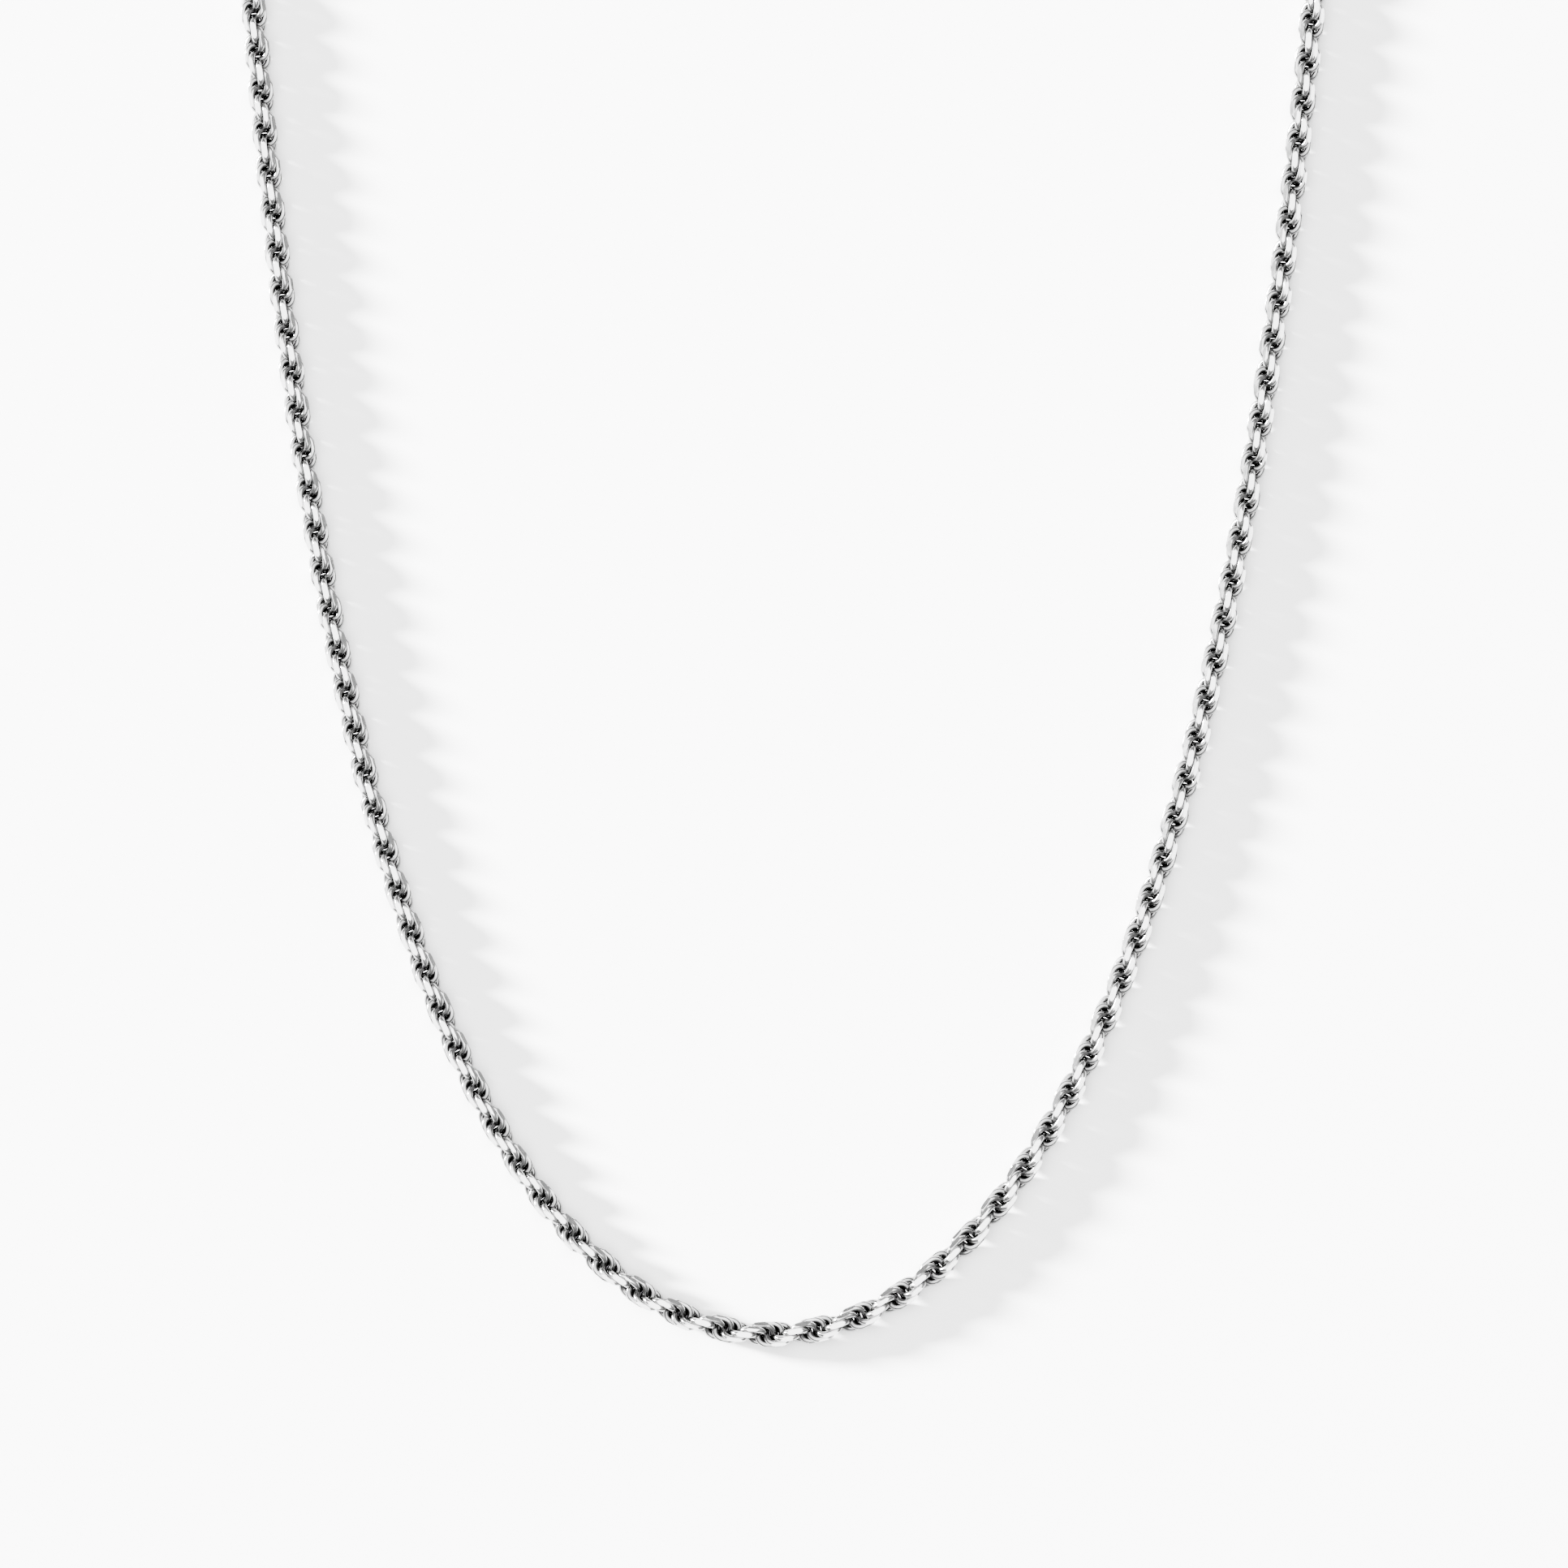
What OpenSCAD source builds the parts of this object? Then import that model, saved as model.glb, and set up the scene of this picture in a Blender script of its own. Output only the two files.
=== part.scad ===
// Diamond-cut rope chain necklace, unclasped and lying flat with its two ends side by side.
// The chain is a double spiral of small round links, each threaded by the next two.

/* [Chain] */
// Length of chain between the two end caps
chain_len = 482; // [380:1:600]
// Radius of a link, to the middle of its wire
link_r = 1.03; // [0.96:0.01:1.25]
// Thickness of the links' wire
wire_d = 0.34; // [0.2:0.01:0.37]
// Length along the chain of one half turn of the spiral, where the chain hangs straight
half_turn = 3.8; // [3.2:0.1:4.6]
// The same length at the bottom of the U, where the spiral is slacker
half_turn_slack = 4.45; // [3.2:0.1:5.2]
// Hand of the spiral: -1 left-handed, 1 right-handed
hand = -1; // [-1, 1]
// Radius of the curve at the bottom of the U
bend_r = 20.8; // [15:0.1:26]
// Length of chain over which the arms straighten more than a hanging chain's would
straighten = 196; // [150:1:400]

/* [End caps] */
// Length of the barrel soldered to each end of the chain
cap_len = 4.2; // [3:0.1:6]
// Radius of the rounded tab and of its twin on the clasp and the tag
tab_r = 1.3; // [1.2:0.05:1.6]
// Thickness of the tabs that the jump rings pass through
tab_t = 0.9; // [0.6:0.05:1]
// Radius of the hole in each tab
eye_r = 0.75; // [0.7:0.01:0.85]

/* [Jump rings] */
// Radius of a jump ring, to the middle of its wire
ring_r = 1.6; // [1.5:0.05:1.9]
// Thickness of the jump rings' wire
ring_wire = 0.6; // [0.4:0.02:0.66]

/* [Clasp] */
// Outer radius of the claw
claw_r = 3.1; // [2.8:0.05:3.8]
// Width of the claw's hook, seen from above
hook_w = 1.25; // [1:0.05:1.5]
// Thickness of the clasp body
clasp_t = 2.3; // [2.1:0.05:2.4]
// Distance from the clasp's eye to the middle of the claw
claw_y = 8; // [7.6:0.1:9]
// Thickness of the lever
lever_t = 0.9; // [0.6:0.05:1.1]
// Width of the lever's bar
lever_w = 0.84; // [0.7:0.02:0.9]
// Radius of the lever's pin
pin_r = 0.3; // [0.2:0.01:0.36]
// Thickness of the leaf spring behind the lever
leaf_t = 0.15; // [0.1:0.01:0.18]

/* [Closing tag] */
// Outer radius of the tag's closing eye
tag_r = 2.5; // [2.3:0.05:3]
// Radius of the closing hole that the claw hooks into
tag_hole_r = 1.6; // [1.45:0.05:1.8]
// Distance between the tag's two holes
tag_pitch = 5.2; // [4.8:0.1:8]
// Thickness of the tag
tag_t = 0.7; // [0.5:0.05:1]

/* [Hidden] */
$fn = 48;
metal = "silver";

// Spiral of links. A link is threaded by the next two, so the far side of each one
// crosses the chain's middle line halfway between the near sides of two others.
threaded = 2;
link_step = 2 * link_r / (threaded + 0.5);
arm_groups = 11;
groups = 4 * arm_groups + 1;
group_links = round(chain_len / (groups * link_step));
group_len = group_links * link_step;
half_len = groups * group_len / 2;
rope_r = link_r + wire_d / 2;
// Half width of the stretch over which the spiral slackens towards the bottom of the U
slack_len = 45;
twist_arm = 180 / half_turn;
twist_slack = 180 / half_turn_slack;

// Clearances
eye_gap = 0.05;
pin_fit = 0.01;
pin_run = 0.04;
slot_gap = 0.15;

// The chain's middle line lies in the plane of the table and is walked by its length s from
// the bottom of the U, adding up its headings by Simpson's rule
walk_steps = 64;
walk_share = [for (i = [0 : walk_steps]) i % walk_steps == 0 ? 1 : 2 + 2 * (i % 2)] / (3 * walk_steps);
function heading(s) = atan(s / bend_r * (1 + pow(s / straighten, 2)));
function way(a) = [cos(a), sin(a)];
function on_line(s) = s * walk_share * [for (i = [0 : walk_steps]) way(heading(s * i / walk_steps))];
function slackened(s) = (twist_arm - twist_slack) * slack_len * atan(s / slack_len) * PI / 180;
function twist(s) = hand * (twist_arm * s - slackened(s));

// Heights
mid_z = rope_r;
ring_z = ring_r + ring_wire / 2;

// Where a jump ring's wire comes through the tabs, measured from the ring's middle
ring_reach = sqrt(ring_r * ring_r - pow(ring_z - mid_z, 2));
cap_eye = cap_len + tab_r;
arm_end = on_line(half_len);
clasp_y = arm_end.y + cap_eye + 2 * ring_reach;

// End cap's rim, neck and nose, and how far the tab runs into the solid behind it
cap_lip = 0.9;
cap_step = 0.3;
cap_nose = 0.5;
cap_neck_r = rope_r - 0.12;
cap_nose_r = rope_r - 0.45;
tab_in = 0.5;

// The tag's width at its closing hole
tag_neck_w = 3.6;

// The origin is the middle of the necklace's footprint
shift_y = (clasp_y + claw_y + claw_r - rope_r) / 2;

// Clasp lever, in the clasp's own frame with the eye at its origin
pin_x = 1.75;
pin_y = 4.6;
nose_gap = 0.07;
nose_turn = 50;
nose_r = claw_r - hook_w - lever_w / 2 - nose_gap;
nose_x = nose_r * cos(nose_turn);
nose_y = claw_y + nose_r * sin(nose_turn);
lever_len = norm([nose_x - pin_x, nose_y - pin_y]);
lever_lean = atan2(pin_x - nose_x, nose_y - pin_y);
lever_root_r = 0.8;
slot_x = -0.1;
slot_y = 3.3;
mouth_from = -20;
mouth_to = 40;
shank_w = 2.2;
shank_y = 1.2;
shoulder_y = 5.6;
shoulder_w = 5.2;
thumb_x = 3.5;
thumb_y = 5.9;
thumb_r = 0.45;
thumb_bar_w = 0.6;
leaf_y = 3.9;
leaf_len = 1.8;
leaf_r = 0.47;

function two(i) = str(i < 10 ? "0" : "", i);
function link_node(side, i) = str("links_", side, "_", two(i));
function bend_node(side, i) = str("bend_", side, "_", two(i));

// One link: a ring standing along the chain, turned about it by the spiral
module link(s) {
    translate(concat(on_line(s) - [0, shift_y], mid_z))
        rotate([0, 0, heading(s)])
            rotate([twist(s), 0, 0])
                rotate_extrude()
                    translate([link_r, 0])
                        circle(d = wire_d, $fn = 24);
}

// The links of one group, counted from the middle of the chain: 0 is the centre group
module links(group) {
    color(metal)
        for (k = [0 : group_links - 1])
            link(group * group_len + (k - (group_links - 1) / 2) * link_step);
}

// Puts a piece at one end of the chain, with +Y leading away from the end cap
module at_end(side, y) {
    translate([side * arm_end.x, arm_end.y - shift_y + y, mid_z])
        children();
}

// A rounded tab around an eye at the origin, running back along -Y
module tab(back) {
    difference() {
        union() {
            cylinder(r = tab_r, h = tab_t, center = true);
            translate([-tab_r, -back, -tab_t / 2])
                cube([2 * tab_r, back, tab_t]);
        }
        cylinder(r = eye_r, h = 2 * tab_t, center = true);
    }
}

// Barrel soldered on to the last links, with a tab for the jump ring
module end_cap() {
    color(metal) {
        rotate([-90, 0, 0])
            rotate_extrude()
                polygon([[0, 0], [rope_r, 0], [rope_r, cap_lip], [cap_neck_r, cap_lip + cap_step],
                         [cap_neck_r, cap_len - cap_nose], [cap_nose_r, cap_len], [0, cap_len]]);
        translate([0, cap_eye, 0])
            tab(tab_r + tab_in);
    }
}
// Soldered ring standing on edge through two eyes
module jump_ring() {
    color(metal)
        translate([0, ring_reach, ring_z - mid_z])
            rotate([0, 90, 0])
                rotate_extrude()
                    translate([ring_r, 0])
                        circle(d = ring_wire, $fn = 32);
}

// Flat plate with a small eye for the jump ring and a large one for the clasp
module closing_tag() {
    color(metal)
        translate([0, 0, -tag_t / 2])
            linear_extrude(tag_t)
                difference() {
                    union() {
                        circle(r = tab_r);
                        translate([0, tag_pitch])
                            circle(r = tag_r);
                        polygon([[-tab_r, 0], [tab_r, 0], [tag_neck_w / 2, tag_pitch],
                                 [-tag_neck_w / 2, tag_pitch]]);
                    }
                    circle(r = eye_r);
                    translate([0, tag_pitch])
                        circle(r = tag_hole_r);
                }
}
// Outline of the claw and the block that holds the lever, seen from above
module claw_outline() {
    difference() {
        union() {
            translate([0, claw_y])
                circle(r = claw_r);
            polygon([[-shank_w / 2, shank_y], [shank_w / 2, shank_y],
                     [shoulder_w / 2, shoulder_y], [-shoulder_w / 2, shoulder_y]]);
        }
        translate([0, claw_y])
            circle(r = claw_r - hook_w);
        translate([0, claw_y])
            polygon([[0, 0], 2 * claw_r * [cos(mouth_from), sin(mouth_from)],
                     2 * claw_r * [cos((mouth_from + mouth_to) / 2), sin((mouth_from + mouth_to) / 2)],
                     2 * claw_r * [cos(mouth_to), sin(mouth_to)]]);
    }
}
// Clasp body: the claw, the slotted block and the eye
module clasp_body() {
    slot_t = lever_t + 2 * slot_gap;
    color(metal)
        difference() {
            union() {
                translate([0, 0, -clasp_t / 2])
                    linear_extrude(clasp_t)
                        claw_outline();
                cylinder(r = tab_r, h = tab_t, center = true);
                translate([-tab_r / 2, 0, -tab_t / 2])
                    cube([tab_r, shank_y + tab_in, tab_t]);
            }
            cylinder(r = eye_r, h = 2 * tab_t, center = true);
            translate([slot_x, slot_y, -slot_t / 2])
                cube([2 * claw_r, claw_y - slot_y, slot_t]);
            translate([pin_x, pin_y, 0])
                cylinder(r = pin_r + pin_fit, h = 2 * clasp_t, center = true);
        }
}

// Spring-loaded lever that shuts the claw's mouth, with its thumb tab
module clasp_lever() {
    color(metal)
        difference() {
            union() {
                translate([pin_x, pin_y, 0]) {
                    cylinder(r = lever_root_r, h = lever_t, center = true);
                    rotate([0, 0, lever_lean])
                        translate([-lever_w / 2, 0, -lever_t / 2])
                            cube([lever_w, lever_len, lever_t]);
                    rotate([0, 0, atan2(thumb_y - pin_y, thumb_x - pin_x)])
                        translate([0, -thumb_bar_w / 2, -lever_t / 2])
                            cube([norm([thumb_x - pin_x, thumb_y - pin_y]), thumb_bar_w, lever_t]);
                }
                translate([nose_x, nose_y, 0])
                    cylinder(r = lever_w / 2, h = lever_t, center = true);
                translate([thumb_x, thumb_y, 0])
                    cylinder(r = thumb_r, h = lever_t, center = true);
            }
            translate([pin_x, pin_y, 0])
                cylinder(r = pin_r + pin_run, h = 2 * lever_t, center = true);
        }
}

// Pin that the lever turns on, riveted through both cheeks of the body
module clasp_pin() {
    color(metal)
        translate([pin_x, pin_y, 0])
            cylinder(r = pin_r, h = clasp_t, center = true);
}

// U-shaped leaf spring between the body and the lever
module clasp_spring() {
    color(metal)
        translate([slot_x + eye_gap + leaf_r, leaf_y, -lever_t / 2])
            linear_extrude(lever_t)
                difference() {
                    leaf_outline(leaf_r);
                    leaf_outline(leaf_r - leaf_t);
                }
}

// A bar of half width r with one rounded end, left open at the other
module leaf_outline(r) {
    circle(r = r);
    translate([-r, 0])
        square([2 * r, leaf_len + (r < leaf_r ? 1 : 0)]);
}

links(0);  // links_centre
for (i = [1 : arm_groups]) {
    links(-2 * i);
    links(2 * i);
    links(1 - 2 * i);
    links(2 * i - 1);
}
at_end(-1, 0) end_cap();  // end_cap_left
at_end(1, 0) end_cap();  // end_cap_right
at_end(-1, cap_eye) jump_ring();  // jump_ring_left
at_end(1, cap_eye) jump_ring();  // jump_ring_right
at_end(-1, cap_eye + 2 * ring_reach) closing_tag();
at_end(1, cap_eye + 2 * ring_reach) clasp_body();
at_end(1, cap_eye + 2 * ring_reach) clasp_lever();
at_end(1, cap_eye + 2 * ring_reach) clasp_pin();
at_end(1, cap_eye + 2 * ring_reach) clasp_spring();
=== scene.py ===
"""Diamond-cut rope chain necklace: round links cut flat around the outside, with its findings."""

import math

import bmesh
import bpy
from mathutils import Matrix, Vector


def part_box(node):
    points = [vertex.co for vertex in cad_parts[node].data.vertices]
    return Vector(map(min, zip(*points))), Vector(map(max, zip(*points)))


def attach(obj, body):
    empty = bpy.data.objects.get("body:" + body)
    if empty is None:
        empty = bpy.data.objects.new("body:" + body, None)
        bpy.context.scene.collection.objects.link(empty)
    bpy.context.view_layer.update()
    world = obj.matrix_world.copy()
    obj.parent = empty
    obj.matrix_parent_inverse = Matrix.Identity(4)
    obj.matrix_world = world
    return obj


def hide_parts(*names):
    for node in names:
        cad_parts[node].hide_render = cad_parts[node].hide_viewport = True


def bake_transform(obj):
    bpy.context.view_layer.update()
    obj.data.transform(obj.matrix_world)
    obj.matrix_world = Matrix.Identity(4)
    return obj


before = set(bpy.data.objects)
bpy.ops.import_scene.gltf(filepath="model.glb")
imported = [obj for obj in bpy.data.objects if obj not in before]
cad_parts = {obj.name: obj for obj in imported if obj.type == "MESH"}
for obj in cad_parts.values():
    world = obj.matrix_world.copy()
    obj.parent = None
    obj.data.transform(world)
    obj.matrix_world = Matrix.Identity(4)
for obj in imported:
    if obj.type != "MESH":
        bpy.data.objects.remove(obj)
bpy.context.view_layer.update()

MM = 0.001

# Chain, in millimetres: the middle line and the spiral are the CAD's
LINK_R = 1.03
CAD_WIRE_D = 0.34
THREADED = 2
LINK_STEP = 2 * LINK_R / (THREADED + 0.5)
GROUP_LINKS = 13
ARM_GROUPS = 11
GROUP_LEN = GROUP_LINKS * LINK_STEP
BEND_R = 20.8
STRAIGHTEN = 196.0
WALK_STEPS = 64
HALF_TURN = 3.8
HALF_TURN_SLACK = 4.45
SLACK_LEN = 45.0
HAND = -1
MID_Z = LINK_R + CAD_WIRE_D / 2

# Lowest point of the middle line: the CAD's links stand half a wire outside LINK_R
frame_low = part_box("links_centre")[0].y / MM + MID_Z

# What shows of a link: its wire at full thickness, cut back to flats around the chain
RING_HALF_LEN = 1.16
RING_R = 1.03
SQUARENESS = 2.5
WIRE_D = 0.62
FLATS = 8
FLAT_APOTHEM = 1.195
LEAN = HAND * math.radians(5)
RING_STEPS = 44
WIRE_STEPS = 14
# A flat that would take off less than this is left out, and a corner this near its plane is on it
LEAST_CUT = 0.01
ON_PLANE = 1e-5
UP = Vector((0, 0, 1))

# Shared by the wire's and the flats' finish: radii between which the silver's colour darkens inwards, painted
# shade in the knots and on the links' flanks
BRIGHT_R = 1.19
DARK_R = 0.60

# How far the fine scratches take a finish from its own roughness, as shares of it
SMOOTHEST = 0.7
ROUGHEST = 1.5

# Findings, in metres and radians: what counts as one corner, as flat and as a sharp edge
WELD = 1e-6
FLAT = math.radians(0.5)
SHARP = math.radians(35)
# A steep face with more corners than this has a curved rim, which flat_only leaves crisp
RIM_CORNERS = 12
STEEP = 0.5
PIN_CLEAR = 0.5 * MM

# Floor, light and view: lengths in metres, except the sensor's, and angles in radians
FLOOR_HALF = 3.0
FLOOR_TONE = 0.86
TOP_POWER = 20
TOP_ASIDE = -0.06
TOP_AHEAD = 0.06
TOP_HEIGHT = 0.6
TOP_SIZE = 0.9
SUN_POWER = 95
SKY_POWER = 2.4
SKY_TONES = ((0.0, 0.25), (0.35, 0.2), (0.7, 0.5), (0.9, 1.0))
VIEW_X = 0.00085
VIEW_ABOVE_LOW = 0.05298
VIEW_WIDTH = 0.151
VIEW_ROLL = math.radians(0.56)
CAMERA_Z = 1.0
SENSOR_MM = 36


def heading(s):
    return math.atan(s / BEND_R * (1 + (s / STRAIGHTEN) ** 2))


def line_point(s):
    """A point s along the chain's middle line from the bottom of the U, by Simpson's rule on its headings."""
    x = y = 0
    for i in range(WALK_STEPS + 1):
        share = 1 if i % WALK_STEPS == 0 else 2 + 2 * (i % 2)
        a = heading(s * i / WALK_STEPS)
        x += share * math.cos(a)
        y += share * math.sin(a)
    step = s / (3 * WALK_STEPS)
    return Vector((step * x, frame_low + step * y, MID_Z))


def twist(s):
    arm = math.pi / HALF_TURN
    slack = math.pi / HALF_TURN_SLACK
    return HAND * (arm * s - (arm - slack) * SLACK_LEN * math.atan(s / SLACK_LEN))


def ring_outline(t):
    """The middle of a link's wire: a circle pressed a little square, flatter along the chain's outside."""
    c, s = math.cos(t), math.sin(t)
    fold = (abs(c) ** SQUARENESS + abs(s) ** SQUARENESS) ** (-1 / SQUARENESS)
    return Vector((RING_HALF_LEN * c * fold, RING_R * s * fold, 0))


def ring_template():
    """A closed ring in the XY plane, X along the chain, leaning so that its wire slants across the chain."""
    bm = bmesh.new()
    loops = []
    step = 2 * math.pi / RING_STEPS
    for i in range(RING_STEPS):
        t = step * i
        middle = ring_outline(t)
        along = (ring_outline(t + step / 4) - ring_outline(t - step / 4)).normalized()
        out = along.cross(UP)
        middle.z = RING_R * math.tan(LEAN) * math.sin(2 * t) / 2
        loop = []
        for j in range(WIRE_STEPS):
            q = 2 * math.pi * j / WIRE_STEPS
            around = WIRE_D / 2 * (math.cos(q) * out + math.sin(q) * UP)
            loop.append(bm.verts.new(middle + around))
        loops.append(loop)
    for i, loop in enumerate(loops):
        after = loops[(i + 1) % RING_STEPS]
        for j in range(WIRE_STEPS):
            k = (j + 1) % WIRE_STEPS
            bm.faces.new((loop[j], after[j], after[k], loop[k])).smooth = True
    bm.normal_update()
    return bm


def cut_flats(bm, turn):
    """Cuts a link, already turned by the spiral, back to the flats that it crosses."""
    for f in range(FLATS):
        a = 2 * math.pi * f / FLATS
        normal = Vector((0, math.cos(a), math.sin(a)))
        reach = RING_R * abs(math.cos(a - turn)) + WIRE_D / 2
        if reach < FLAT_APOTHEM + LEAST_CUT:
            continue
        geom = bm.verts[:] + bm.edges[:] + bm.faces[:]
        cut = bmesh.ops.bisect_plane(
            bm,
            geom=geom,
            dist=ON_PLANE,
            plane_co=normal * FLAT_APOTHEM,
            plane_no=normal,
            clear_outer=True,
        )
        rim = [e for e in cut["geom_cut"] if isinstance(e, bmesh.types.BMEdge)]
        for face in bmesh.ops.holes_fill(bm, edges=rim, sides=0)["faces"]:
            face.smooth = False
            face.material_index = 1
            for edge in face.edges:
                edge.smooth = False


def links(name, group, materials):
    """One stretch's links as one mesh, group stretches along the chain from the middle one."""
    template = ring_template()
    whole = bmesh.new()
    depth = whole.verts.layers.float.new("painted_shade_depth")
    for k in range(GROUP_LINKS):
        s = group * GROUP_LEN + (k - (GROUP_LINKS - 1) / 2) * LINK_STEP
        turn = twist(s)
        bm = template.copy()
        bm.transform(Matrix.Rotation(turn, 4, "X"))
        cut_flats(bm, turn)
        place = Matrix.Translation(line_point(s)) @ Matrix.Rotation(heading(s), 4, "Z")
        made = {}
        for v in bm.verts:
            w = whole.verts.new(place @ v.co * MM)
            # Painted shade: the further in towards the chain's axis, the darker the silver's colour
            inward = (BRIGHT_R - math.hypot(v.co.y, v.co.z)) / (BRIGHT_R - DARK_R)
            w[depth] = min(max(inward, 0), 1)
            made[v] = w
        for face in bm.faces:
            new = whole.faces.new([made[v] for v in face.verts])
            new.smooth = face.smooth
            new.material_index = face.material_index
        for edge in bm.edges:
            if not edge.smooth:
                whole.edges.get([made[v] for v in edge.verts]).smooth = False
        bm.free()
    template.free()
    mesh = bpy.data.meshes.new(name)
    whole.to_mesh(mesh)
    whole.free()
    for m in materials:
        mesh.materials.append(m)
    obj = bpy.data.objects.new(name, mesh)
    bpy.context.scene.collection.objects.link(obj)
    return obj


def ramp_to(ramp, stops):
    """Fills a colour ramp with grey tones at their places."""
    while len(ramp.elements) < len(stops):
        ramp.elements.new(0.5)
    for element, (at, tone) in zip(ramp.elements, stops):
        element.position = at
        element.color = (tone, tone, tone, 1)


def silver(name, rough, painted_shade, grain):
    """Polished silver with painted shade: its colour darker where the per-point depth attribute says that the
    point lies further in.
    """
    mat = bpy.data.materials.new(name)
    mat.use_nodes = True
    nodes, wires = mat.node_tree.nodes, mat.node_tree.links
    shader = nodes["Principled BSDF"]
    shader.inputs["Metallic"].default_value = 1.0
    painted_shade_depth = nodes.new("ShaderNodeAttribute")
    painted_shade_depth.attribute_name = "painted_shade_depth"
    ramp = nodes.new("ShaderNodeValToRGB")
    ramp_to(ramp.color_ramp, painted_shade)
    coords = nodes.new("ShaderNodeTexCoord")
    noise = nodes.new("ShaderNodeTexNoise")
    noise.inputs["Scale"].default_value = grain
    noise.inputs["Detail"].default_value = 4
    spread = nodes.new("ShaderNodeMapRange")
    spread.inputs["To Min"].default_value = rough * SMOOTHEST
    spread.inputs["To Max"].default_value = rough * ROUGHEST
    wires.new(painted_shade_depth.outputs["Fac"], ramp.inputs["Fac"])
    wires.new(ramp.outputs["Color"], shader.inputs["Base Color"])
    wires.new(coords.outputs["Object"], noise.inputs["Vector"])
    wires.new(noise.outputs["Fac"], spread.inputs["Value"])
    wires.new(spread.outputs["Result"], shader.inputs["Roughness"])
    return mat


# The wire's painted shade: grey tones from the outside (0) to deepest in (1)
wire_painted_shade = ((0, 0.4), (0.27, 0.3), (0.55, 0.22), (1, 0.12))
wire_silver = silver("wire_silver", rough=0.16, painted_shade=wire_painted_shade, grain=900)
cut_silver = silver("cut_silver", rough=0.08, painted_shade=((0, 0.58), (1, 0.4)), grain=900)
finding_silver = silver("finding_silver", rough=0.2, painted_shade=((0, 0.5), (1, 0.3)), grain=600)


def node_names(side, i):
    return f"links_{side}_{i:02d}", f"bend_{side}_{i:02d}"


chain_finish = [wire_silver, cut_silver]
centre = links("chain_centre", 0, chain_finish)
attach(centre, "centre")
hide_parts("links_centre")
for side, way in (("left", -1), ("right", 1)):
    for i in range(1, ARM_GROUPS + 1):
        core_node, bend_node = node_names(side, i)
        body = f"{side}_{i:02d}"
        core = links(f"chain_{side}_{i:02d}", way * 2 * i, chain_finish)
        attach(core, body)
        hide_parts(core_node)
        bend = links(f"chain_bend_{side}_{i:02d}", way * (2 * i - 1), chain_finish)
        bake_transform(bend)
        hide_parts(bend_node)


pin_low, pin_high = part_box("clasp_pin")
pin_middle = (pin_low + pin_high) / 2


def near_pin(edge):
    """True for the edges of the holes that the clasp's pin sits in."""
    return all((v.co.xy - pin_middle.xy).length < PIN_CLEAR for v in edge.verts)


def rounded(node, body, edge, flat_only=False):
    """The CAD piece with sharp edges rounded, edge in mm. flat_only leaves holes and slots crisp."""
    bm = bmesh.new()
    bm.from_mesh(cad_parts[node].data)
    bmesh.ops.remove_doubles(bm, verts=bm.verts[:], dist=WELD)
    bmesh.ops.dissolve_limit(bm, angle_limit=FLAT, verts=bm.verts[:], edges=bm.edges[:])
    top = max(v.co.z for v in bm.verts)
    low = min(v.co.z for v in bm.verts)
    sharp = []
    for e in bm.edges:
        if len(e.link_faces) != 2 or e.calc_face_angle() < SHARP:
            continue
        ends = [v.co.z for v in e.verts]
        on_face = any(all(abs(z - level) < WELD * 10 for z in ends) for level in (top, low))
        rim = any(len(f.verts) > RIM_CORNERS and abs(f.normal.z) < STEEP for f in e.link_faces)
        if not flat_only or (on_face and not near_pin(e) and not rim):
            sharp.append(e)
    bmesh.ops.bevel(
        bm, geom=sharp, offset=edge * MM, segments=4, profile=0.5, affect="EDGES", clamp_overlap=True
    )
    mesh = bpy.data.meshes.new(node + "_polished")
    bm.to_mesh(mesh)
    bm.free()
    mesh.materials.append(finding_silver)
    mesh.shade_smooth()
    mesh.set_sharp_from_angle(angle=SHARP)
    obj = bpy.data.objects.new(node + "_polished", mesh)
    bpy.context.scene.collection.objects.link(obj)
    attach(obj, body)
    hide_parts(node)


rounded("end_cap_left", "left_11", edge=0.1)
rounded("end_cap_right", "right_11", edge=0.1)
rounded("closing_tag", "tag", edge=0.14)
rounded("clasp_body", "clasp", edge=0.32, flat_only=True)
rounded("clasp_lever", "lever", edge=0.12)
rounded("clasp_pin", "clasp", edge=0.06)
for name in ("jump_ring_left", "jump_ring_right"):
    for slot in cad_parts[name].material_slots:
        slot.material = finding_silver

# The leaf spring is kept in one piece where it stands, on no body
spring_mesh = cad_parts["clasp_spring"].data.copy()
spring_mesh.materials.clear()
spring_mesh.materials.append(finding_silver)
spring = bpy.data.objects.new("clasp_spring_leaf", spring_mesh)
bpy.context.scene.collection.objects.link(spring)
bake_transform(spring)
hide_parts("clasp_spring")


def area_light(name, place, aim, size, power):
    lamp = bpy.data.lights.new(name, "AREA")
    lamp.shape = "RECTANGLE"
    lamp.size, lamp.size_y = size
    lamp.energy = power
    obj = bpy.data.objects.new(name, lamp)
    obj.location = place
    obj.rotation_euler = (Vector(aim) - Vector(place)).to_track_quat("-Z", "Y").to_euler()
    bpy.context.scene.collection.objects.link(obj)


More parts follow.
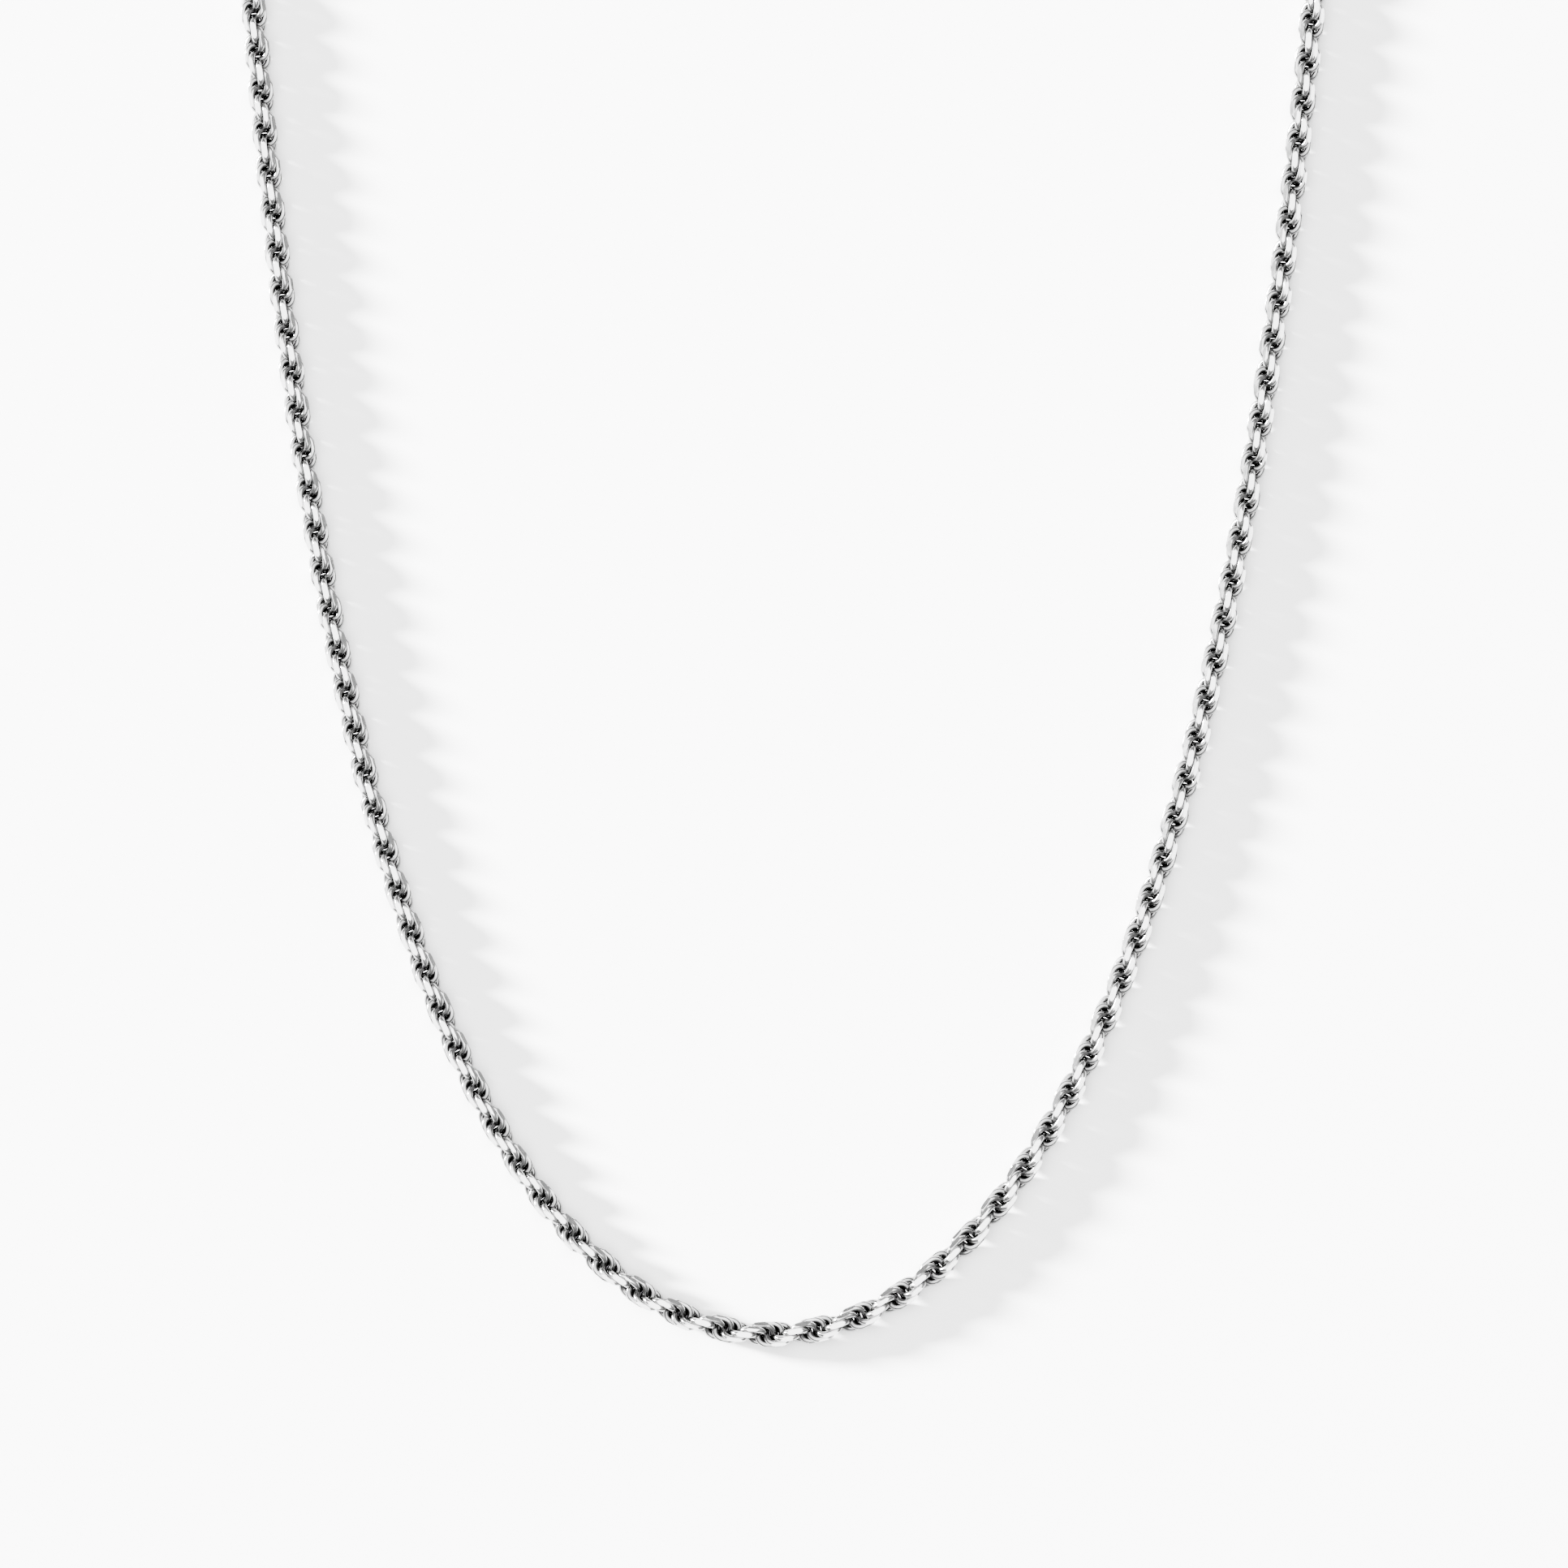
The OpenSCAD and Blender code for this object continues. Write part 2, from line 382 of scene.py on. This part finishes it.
def floor():
    mesh = bpy.data.meshes.new("floor")
    half = FLOOR_HALF
    corners = [(-half, -half, 0), (half, -half, 0), (half, half, 0), (-half, half, 0)]
    mesh.from_pydata(corners, [], [(0, 1, 2, 3)])
    mat = bpy.data.materials.new("floor_white")
    mat.use_nodes = True
    shader = mat.node_tree.nodes["Principled BSDF"]
    shader.inputs["Base Color"].default_value = (FLOOR_TONE, FLOOR_TONE, FLOOR_TONE, 1)
    shader.inputs["Roughness"].default_value = 0.9
    mesh.materials.append(mat)
    obj = bpy.data.objects.new("floor", mesh)
    bpy.context.scene.collection.objects.link(obj)


def low_sun(name, from_way, height, spread, strength):
    """A low sun whose shadows run along the floor, all angles in degrees and from_way counted from +X."""
    lamp = bpy.data.lights.new(name, "SUN")
    lamp.angle = math.radians(spread)
    lamp.energy = strength
    obj = bpy.data.objects.new(name, lamp)
    a, e = math.radians(from_way), math.radians(height)
    towards = Vector((math.cos(a) * math.cos(e), math.sin(a) * math.cos(e), math.sin(e)))
    obj.rotation_euler = towards.to_track_quat("Z", "Y").to_euler()
    obj.location = look_at + towards
    bpy.context.scene.collection.objects.link(obj)


floor()
view_y = frame_low * MM + VIEW_ABOVE_LOW
look_at = Vector((VIEW_X, view_y, 0))
top_place = (TOP_ASIDE, view_y + TOP_AHEAD, TOP_HEIGHT)
area_light("top", top_place, look_at, (TOP_SIZE, TOP_SIZE), TOP_POWER)
low_sun("side", from_way=163, height=14, spread=8, strength=SUN_POWER)

world = bpy.data.worlds.new("studio")
bpy.context.scene.world = world
world.use_nodes = True
tree = world.node_tree
sky = tree.nodes["Background"]
sky.inputs["Strength"].default_value = SKY_POWER
sky_coords = tree.nodes.new("ShaderNodeTexCoord")
split = tree.nodes.new("ShaderNodeSeparateXYZ")
shade = tree.nodes.new("ShaderNodeValToRGB")
tree.links.new(sky_coords.outputs["Generated"], split.inputs["Vector"])
tree.links.new(split.outputs["Z"], shade.inputs["Fac"])
tree.links.new(shade.outputs["Color"], sky.inputs["Color"])
ramp_to(shade.color_ramp, SKY_TONES)

# Straight down, from far enough that the arms keep their spacing
camera_data = bpy.data.cameras.new("camera")
camera = bpy.data.objects.new("camera", camera_data)
camera_data.sensor_width = SENSOR_MM
camera_data.lens = SENSOR_MM * CAMERA_Z / VIEW_WIDTH
camera_data.clip_start = 0.01
camera.location = (look_at.x, look_at.y, CAMERA_Z + MID_Z * MM)
camera.rotation_euler = (0, 0, VIEW_ROLL)
bpy.context.scene.collection.objects.link(camera)
bpy.context.scene.camera = camera
